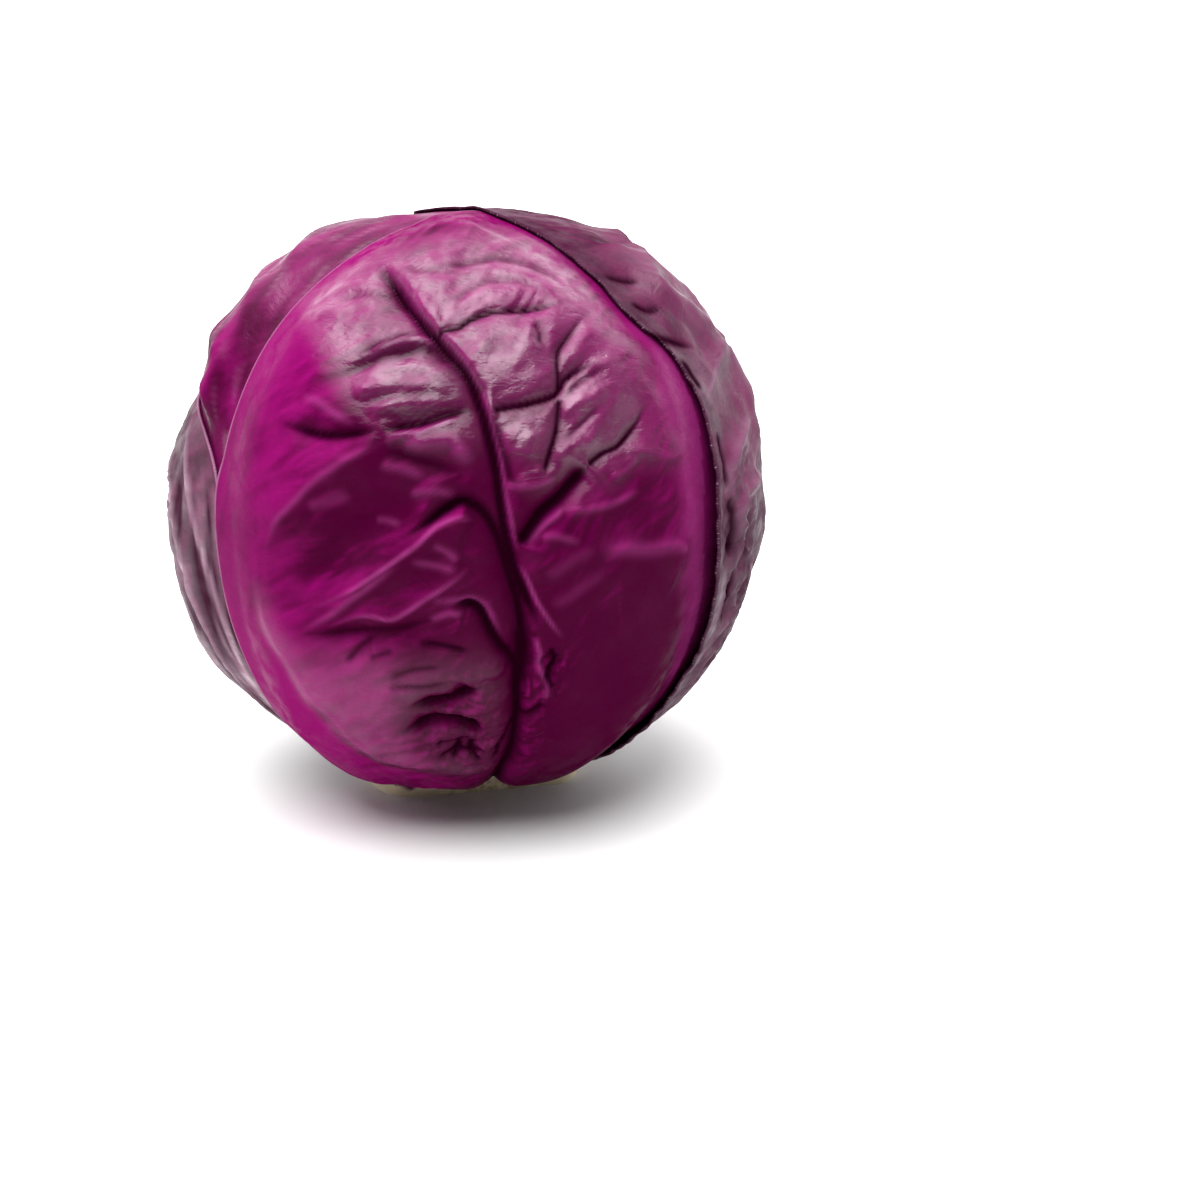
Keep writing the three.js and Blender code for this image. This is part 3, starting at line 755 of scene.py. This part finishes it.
# ---- Front leaf ----
# The large leaf that faces the viewer. Its midrib runs down a deep furrow from the crown to the
# stem. On the left its side ribs stand out as long ridges with drawn, shining blade between them,
# and on the right they lie in creases with puffed pads between. At the stem the blade is crumpled.
MIDRIB_FURROW = [[-25, 77], [-19, 70], [-14, 63], [-9, 57], [-3, 50], [2, 44], [5, 37], [7, 30], [9, 21],
                 [10, 13], [11, 6], [13, -2], [16, -10], [20, -18]]
MIDRIB = [[-20, 77], [-16, 71], [-11, 64], [-5, 56], [0, 50], [4, 43], [7, 38]]
MIDRIB_END = [[4, 43], [7, 37], [8.5, 31], [10, 24], [11, 16], [12.5, 8], [14, 1]]
LOWER_FURROW = [[-14, 4], [-8, 8], [-3, 12], [1, 14], [5, 12], [8, 8], [10, 3], [12, -4], [14, -11],
                [15, -18], [15, -26], [14, -34], [14, -45], [13, -60], [10, -75], [9, -97]]
FIRST_RIB = [[-5, 51], [-7, 53], [-12, 53], [-17, 51], [-22, 49], [-29, 46]]
SECOND_RIB = [[-18, 27], [-25, 23], [-33, 17], [-38, 12], [-44, 6], [-48, -2]]
THIRD_RIB = [[4, 9], [0, 10], [-5, 8], [-9, 4], [-13, 1], [-21, -5], [-27, -9], [-38, -15]]
FOURTH_RIB = [[3, -1], [-2, -5], [-8, -9], [-12, -12], [-16, -14], [-23, -14], [-33, -19]]
RIGHT_BROW = [[33, 0], [39, 1], [46, 0], [53, 0], [59, -2], [64, -6]]
ROLL = [[-51, -6], [-49, -17], [-46, -22], [-41, -29], [-38, -37], [-32, -44], [-28, -52], [-21, -59],
        [-9, -63], [1, -64]]


def sharp_crease(depth, path, fades=(0.06, 0.3), puff=4.0):
    """A sharp crease between two puffed stretches of blade."""
    return [fold(-0.9 * depth, path, 1.3, 1.3, fades), fold(-0.6 * depth, path, puff, puff, fades, 0.4)]


FRONT_FOLDS = [
    # the furrow beside the midrib, the midrib, and the wide furrow below it
    fold(-3.4, MIDRIB_FURROW, 1.7, 2.0, (0.12, 0.1)),
    fold(-2.2, MIDRIB_FURROW, 1.6, 6.0, (0.12, 0.1), 0.4),
    fold(1.0, MIDRIB, 1.6, 1.4, (0.2, 0.25), 0.5),
    fold(0.7, MIDRIB_END, 0.9, 0.8, (0.2, 0.2)),
    fold(-5.6, LOWER_FURROW, 1.7, 2.8, (0.14, 0.04)),
    fold(-5.0, [[15, -14], [15, -20], [15, -26], [14, -34], [14, -45]], 2.8, 3.6, (0.3, 0.4)),
    fold(0.9, [[14, -1], [16, -5], [18, -10], [21, -15], [25, -21]], 0.8, 0.8),
    fold(-4.4, [[-2, -10], [2, -10], [5, -12], [7, -17], [9, -21], [12, -25], [14, -30]], 1.8, 2.6,
         (0.2, 0.05)),
    fold(1.3, [[-7, -9], [-1, -9], [3, -9], [6, -11], [8, -15], [10, -20]], 1.6, 1.4),
    # the first rib on the left and the drawn blade below it
    fold(-0.9, [[-17, 66], [-22, 66], [-27, 66], [-35, 64]]),
    fold(0.6, [[-32, 64], [-35, 61], [-41, 59]]),
    fold(-1.3, [[-8, 55], [-14, 54], [-19, 52], [-23, 50], [-28, 48]], 1.5, 2.6),
    fold(1.2, FIRST_RIB, 2.0, 1.6),
    fold(-2.0, [[1, 46], [-3, 48], [-8, 51], [-13, 50], [-18, 49], [-24, 46], [-30, 43], [-40, 36]], 4, 3,
         (0.15, 0.4)),
    fold(0.8, [[-20, 44], [-14, 46], [-8, 45], [-3, 42], [2, 39]], 1.6, 1.6),
    fold(0.8, [[-29, 40], [-22, 40], [-14, 41], [-6, 41], [0, 39]], 1.6, 1.4),
    fold(-0.7, [[-31, 38], [-23, 37], [-15, 38], [-7, 39], [2, 37]], 1.6, 1.4),
    fold(0.9, [[-23, 34], [-16, 36], [-8, 37], [-1, 36]], 1.8, 1.4),
    fold(-0.7, [[-21, 33], [-13, 34], [-4, 35], [3, 36]], 1.4, 1.4),
    fold(1.3, [[-39, 37], [-34, 36], [-29, 33], [-24, 31]], 1.6, 2.6),
    fold(-2.6, [[-45, 31], [-37, 29], [-30, 28], [-24, 29], [-19, 30]], 1.8, 5, (0.35, 0.3)),
    # the second rib, which stands proud far down the blade
    fold(-2.6, [[5, 36], [-2, 34], [-8, 32], [-14, 31], [-19, 30]], 1.8, 3.2),
    fold(1.6, [[2, 34], [-3, 32], [-8, 30], [-14, 29], [-18, 27]], 1.3, 1.3),
    fold(2.0, [[-14, 26], [-9, 27], [-2, 28], [1, 25], [3, 21]], 3, 3),
    fold(-1.8, [[-19, 25], [-12, 24], [-5, 22], [1, 19]], 3, 2.5),
    fold(3.6, SECOND_RIB, 7, 18, (0.2, 0.35), 0.08),
    fold(0.9, SECOND_RIB, 1.4, 1.4),
    fold(-3.0, [[-4, 17], [-11, 14], [-19, 10], [-26, 4], [-33, -4], [-39, -12]], 6, 8, (0.25, 0.3), 0.3),
    fold(0.9, [[-19, 22], [-13, 21], [-7, 19]]),
    fold(0.9, [[-12, 15], [-6, 16], [0, 15]], 1.5, 1.5),
    fold(0.8, [[-35, 11], [-30, 13], [-25, 15]], 2.2, 2.2),
    fold(0.7, [[-20, 9], [-17, 9], [-13, 8]], 1.4, 1.4),
    # the third and the fourth rib
    fold(2.8, THIRD_RIB, 9, 4, (0.12, 0.35), 0.08),
    fold(1.2, THIRD_RIB, 1.0, 0.9),
    fold(1.0, [[-13, 0], [-20, -6], [-25, -10], [-31, -15], [-39, -20]], 1.6, 1.4),
    fold(-1.8, [[-1, 4], [-6, 0], [-13, -4], [-21, -9], [-27, -13]], 5, 4),
    fold(0.8, [[-6, 4], [-2, 2], [0, 0]], 1.4, 1.4),
    fold(0.8, [[-11, 0], [-5, -1], [0, -2]], 1.4, 1.4),
    fold(2.2, FOURTH_RIB, 6, 4, (0.15, 0.35), 0.1),
    fold(0.9, FOURTH_RIB, 1.0, 0.9),
    fold(-2.0, [[-4, -13], [-12, -16], [-21, -18], [-30, -20], [-39, -21]], 5, 2.4),
    fold(1.1, [[-7, -14], [-2, -12], [1, -13]], 1.4, 1.4),
    # the blade right of the midrib: creases with puffed blade between
    fold(0.7, [[-18, 92], [-4, 92], [11, 90], [23, 85]], 2.5, 2.5),
    fold(-0.8, [[-16, 73], [-6, 73], [4, 73]]),
    fold(-1.2, [[-9, 73], [0, 76], [9, 79], [17, 78], [25, 75], [31, 68]], 2.2, 2.4),
    fold(-0.8, [[-1, 58], [0, 65], [6, 70], [14, 71], [21, 69], [25, 65]], 1.8, 2.2),
    *sharp_crease(2.0, [[-6, 55], [-1, 56], [3, 59], [8, 61], [15, 62], [23, 63], [32, 65]]),
    fold(-1.1, [[19, 59], [21, 55], [20, 51]], 2, 2),
    *sharp_crease(2.5, [[8, 35], [13, 36], [18, 37], [24, 39], [27, 43], [32, 46], [37, 47]]),
    *sharp_crease(1.7, [[25, 40], [25, 44], [25, 47], [26, 51], [30, 56], [36, 64]], (0.05, 0.35), 3),
    *sharp_crease(1.9, [[25, 38], [24, 31], [22, 25], [20, 19]], (0.05, 0.2), 3),
    fold(-1.2, [[8, 36], [9, 30], [11, 24], [13, 18], [17, 17]], 1.6, 2.0),
    fold(1.0, [[9, 18], [13, 17], [17, 17], [21, 18], [24, 19]], 1.3, 1.3),
    fold(0.6, [[13, 26], [16, 25], [19, 25]], 1.4, 1.4),
    fold(0.6, [[10, 30], [14, 28], [20, 29]], 1.6, 1.6),
    fold(-0.9, [[26, 38], [29, 41], [34, 44], [39, 46]], 1.4, 1.6),
    fold(0.9, [[25, 33], [28, 36], [33, 38], [37, 42]], 1.5, 1.5),
    fold(-0.9, [[24, 27], [28, 30], [32, 33], [35, 36]], 1.5, 1.5),
    fold(0.9, [[23, 22], [26, 26], [31, 27], [34, 31]], 1.5, 1.5),
    *sharp_crease(1.9, [[31, 21], [35, 24], [40, 26], [45, 31], [49, 37]], (0.1, 0.4), 3),
    fold(-4.2, [[14, 3], [17, 7], [20, 11], [24, 14], [28, 18], [31, 21]], 2.4, 2.2, (0.12, 0.15)),
    fold(1.1, [[16, 3], [19, 7], [23, 10], [25, 12]], 1.2, 1.2),
    fold(0.8, [[24, 11], [31, 11], [37, 12], [45, 15]], 1.5, 1.5),
    fold(0.8, [[19, 5], [23, 5], [29, 3]], 1.4, 1.4),
    fold(1.7, RIGHT_BROW, 3, 9, (0.2, 0.2), 0.1),
    fold(0.6, RIGHT_BROW, 1.3, 1.3),
    fold(0.6, [[20, -5], [26, -1], [33, 2]], 2.4, 2.4),
    fold(0.6, [[21, -12], [28, -8], [36, -3]], 2.4, 2.4),
    fold(0.7, [[36, 18], [41, 20], [45, 24]], 1.5, 1.5),
    fold(0.6, [[39, 26], [46, 24], [54, 22], [61, 23]], 1.8, 1.8),
    # the crumpled foot, and the roll along the lower left
    fold(-1.1, [[-28, -28], [-24, -23], [-18, -18]], 1.4, 1.4),
    fold(-1.1, [[-22, -26], [-18, -24], [-15, -23]], 1.6, 1.6),
    fold(-1.5, [[-10, -20], [-3, -21], [3, -23]], 1.5, 1.8),
    fold(-0.9, [[-17, -31], [-11, -28], [-3, -27]], 1.4, 1.4),
    fold(-1.0, [[-18, -34], [-10, -33], [-2, -31]], 1.4, 1.4),
    fold(-4.6, [[-13, -39], [-7, -38], [-2, -37], [5, -33]], 2.0, 2.4, (0.35, 0.2)),
    fold(-5.0, [[-15, -49], [-10, -46], [-5, -44], [1, -45], [6, -48]], 2.0, 2.4, (0.3, 0.2)),
    fold(-2.4, [[-7, -53], [-2, -52], [3, -50]], 1.2, 1.4),
    fold(-2.6, [[-1, -50], [-1, -55], [-3, -60]], 1.2, 1.4),
    fold(-2.6, [[4, -50], [2, -55], [5, -60]], 1.2, 1.4),
    fold(-2.2, [[-7, -58], [0, -56], [7, -54]], 1.2, 1.4),
    fold(1.0, [[18, -20], [19, -24], [19, -28], [21, -33], [20, -37]], 1.0, 1.0, (0.1, 0.2)),
    fold(-1.8, [[21, -23], [23, -26], [21, -30], [23, -35]], 1.4, 1.4, (0.1, 0.2)),
    fold(-1.8, [[14, -47], [15, -43], [18, -41], [21, -39]], 1.4, 1.4, (0.1, 0.2)),
    fold(-1.6, [[8, -59], [11, -51], [14, -46]], 1.4, 1.4, (0.1, 0.2)),
    fold(2.2, ROLL, 5, 4, (0.3, 0.3), 0.3),
    fold(0.8, ROLL[2:], 1.0, 1.0, (0.3, 0.3)),
]


def front_relief(x, y):
    level, crease, crest = fold_heights(x, y, FRONT_FOLDS)
    midrib = np.interp(y, [-100, -40, 0, 25, 60, 90], [10, 17, 15, 9, -8, -26])
    right_side = ease(x - midrib, -2, 4)
    drawn_smooth = ease(x + 0.25 * y, -30, -46) + ease(x - 0.6 * y, 42, 60) + ease(x + 0.2 * y, 56, 68)
    wrinkles = foil(x, y, 0.35, 30) * (1 - right_side) + foil(x, y, 0.75, 40) * right_side
    crumple = foil(x, y, 0.1, 50, 6.0) + 0.6 * foil(x, y, 0.9, 55, 3.5)
    crumple *= ease(np.hypot((x - 6) * 1.3, y + 48), 32, 8)
    crumple += ease(np.hypot(x - 17, y + 30), 14, 5) * foil(x, y, 1.2, 58, 2.8)
    level = PAD_LIFT + 1.4 + level + np.clip(1 - drawn_smooth, 0.08, 1) * 0.6 * wrinkles
    # Painted highlight: a pale line along the right margin, where the blade turns away under the right
    # leaf.
    painted_margin_light = 0.6 * ease(x + 0.1 * y + 4 * soft_noise(x, y, 12, 60), 54, 66)
    return level + 1.7 * crumple, crease, np.maximum(crest, painted_margin_light)


def front_blush_and_light(x, y):
    left_zone = 0.47 * ease(x, -12, -50)
    upper = 0.5 * ease(y, 22, 72) * ease(x, 84, 30)
    # Lighter low on the left, a painted reflection of the table there, and darker round the foot.
    lower = 0.38 * ease(y, -12, -40) * ease(x, 12, -14) - 0.75 * ease(np.hypot(x - 6, y + 44), 27, 12)
    # Painted light along the right margin, where the blade turns away under the right leaf.
    painted_edge_light = 0.35 * ease(x + 0.1 * y + 5 * soft_noise(x, y, 12, 60), 48, 64)
    drawn = 0.2 * streaks(x, y, 0.5, 70) * ease(x, 12, 4) * ease(x, -62, -40)
    drawn += 0.06 * streaks(x, y, 0.8, 80) * ease(x, 4, 12)
    drawn += 0.13 * streaks(x, y, 1.45, 75) * ease(x, -38, -56)
    # Painted shade: darker low on the right, in a hollow left of the midrib, and in a band just outside the
    # roll.
    deep = 0.2 * ease(x, 8, 24) * ease(y, 8, -8) + 0.2 * ease(np.hypot(x + 12, (y - 6) * 0.8), 18, 8)
    distance, within, along = beside_path(x, y, smooth_path(ROLL))
    deep = deep + 0.35 * np.exp(-(((distance - 2) / 2) ** 2)) * ~within * ease(along, 0.3, 0.5)
    return np.clip(0.14 + left_zone + upper + lower + painted_edge_light - deep, 0, 1) + drawn


def front_wax(x, y):
    upper = 0.95 * ease(y + 0.1 * x, 21, 36) * ease(x + 0.75 * y, -4, 10) * ease(y - 0.35 * x, 96, 78)
    upper = upper * ease(x + 0.2 * y + 3 * soft_noise(x, y, 9, 61), 66, 48)
    right_pads = 0.5 * ease(np.hypot(x - 28, y - 30), 22, 8)
    distance, within, along = beside_path(x, y, smooth_path(ROLL))
    beyond = ease(np.where(within, distance, -distance), -0.5, 3) * ease(x, -54, -44)
    lower = 0.42 * ease(y, -18, -36) * ease(x, 14, 6) * beyond
    lower *= 1 - 0.7 * ease(np.hypot(x - 4, y + 50), 24, 12)
    rolled = 0.4 * np.exp(-((distance / 3) ** 2)) * ease(along, 0, 0.15)
    edges = 0.06 * ease(x, -40, -60) + 0.35 * ease(x + 0.1 * y, 60, 70)
    return np.clip(0.02 + upper + right_pads + lower + rolled + edges, 0, 1)


lay_leaf("front_leaf", "front_wrapper", front_relief, 212, front_blush_and_light, front_wax, fresh_skin)


# ---- Right leaf ----
# The outermost leaf, on the right and over the crown. It has dried and dulled, its blade is
# crumpled, and its waved edge stands off the front leaf.
RIGHT_FOLDS = [
    fold(3.0, [[-2, 65], [-14, 65], [-25, 63], [-38, 61], [-42, 58], [-42, 47], [-43, 37]], 5, 6,
         (0.15, 0.1), 0.12),
    fold(3.0, [[-33, 34], [-43, 37], [-53, 36], [-61, 34], [-70, 33]], 4, 5, (0.15, 0.2), 0.12),
    fold(1.0, [[-43, 37], [-53, 36], [-61, 34], [-70, 33]], 1.4, 1.2),
    fold(3.0, [[-43, 37], [-45, 27], [-51, 16], [-48, 1]], 7, 6, (0.1, 0.3), 0.12),
    fold(2.4, [[-49, 19], [-62, 17], [-71, 13], [-78, 6]], 3.5, 3, (0.25, 0.2), 0.12),
    fold(0.9, [[-49, 19], [-62, 17], [-71, 13], [-78, 6]], 1.2, 1.2),
    fold(2.4, [[-48, 1], [-65, 4], [-72, 0], [-74, -10]], 3.5, 3, (0.25, 0.2), 0.12),
    fold(2.4, [[-27, 80], [-28, 66], [-31, 55], [-33, 46], [-43, 37]], 6, 8, (0.2, 0.3), 0.12),
    fold(-3.4, [[-61, 57], [-57, 51], [-52, 43]], 1.8, 1.6, (0.05, 0.4)),
    fold(-3.4, [[-61, 46], [-63, 40], [-65, 36]], 1.6, 1.8, (0.2, 0.3)),
    fold(-2.4, [[-42, 75], [-42, 69], [-41, 65]]),
    fold(-2.4, [[-51, 66], [-51, 61], [-48, 57]]),
    fold(-3.0, [[-70, 25], [-73, 16], [-76, 8]], 1.6, 1.8),
    fold(-2.8, [[-75, 7], [-75, -4], [-77, -13]], 1.6, 1.8),
    fold(-2.2, [[-69, 3], [-66, -8], [-67, -16]], 1.6, 1.8),
    fold(-2.4, [[-74, -16], [-73, -26], [-70, -36]], 1.6, 1.8),
    fold(2.0, [[-80, -14], [-79, -26], [-75, -38]], 2.4, 2.4),
] + even_ribs(base=-90, tip=74, lean=5, count=10, depth=2.0, seed=21)


def right_relief(x, y):
    level, crease, crest = fold_heights(x, y, RIGHT_FOLDS)
    shrivelled = ease(x, -52, -66) * ease(y, 26, 6) * foil(x, y, 1.5, 90, 5.0)
    level = PAD_LIFT * ease(y, 100, 60) + level + 0.8 * foil(x, y, 1.1, 60, 10.0)
    return level + 1.7 * shrivelled, crease, crest


def right_blush(x, y):
    # Darker within a few millimetres of the edge, and painted shade over the lower part of the leaf.
    near_edge = 0.3 * ease(blades["right_leaf"].inside(x, y), 9, 2)
    return 0.5 - near_edge - 0.35 * ease(y, 14, -10) + 0.2 * streaks(x, y, 1.3, 95)


def right_wax(x, y):
    return (0.3 + 0.3 * ease(y, 10, 40)) * (1 - 0.7 * ease(y, 52, 72))


def right_edge_lift(x, y, inside):
    """The edge's waves, and how far its lower part has curled off the front leaf."""
    wave = 0.45 + 0.4 * soft_noise(x + 0.5 * y, y, 9, 16) + 0.35 * soft_noise(x, y, 3.5, 17)
    low = 2.6 * ease(y, 50, 10) * ease(x, 0, -40) * (1 - 0.6 * ease(y, -20, -60))
    return (wave * (0.15 + 0.85 * ease(y, 96, 70)) + low) * (1 - ease(inside, 0, 9))


outer_skin = waxy_skin(
    "outer_leaf_skin", (0.13, 0.009, 0.06, 1), (0.035, 0.001, 0.016, 1), (0.26, 0.12, 0.2, 1),
    (0.05, 0.01, 0.03, 1), 0.14)
lay_leaf("right_leaf", "right_wrapper", right_relief, 190, right_blush, right_wax, outer_skin,
         right_edge_lift)
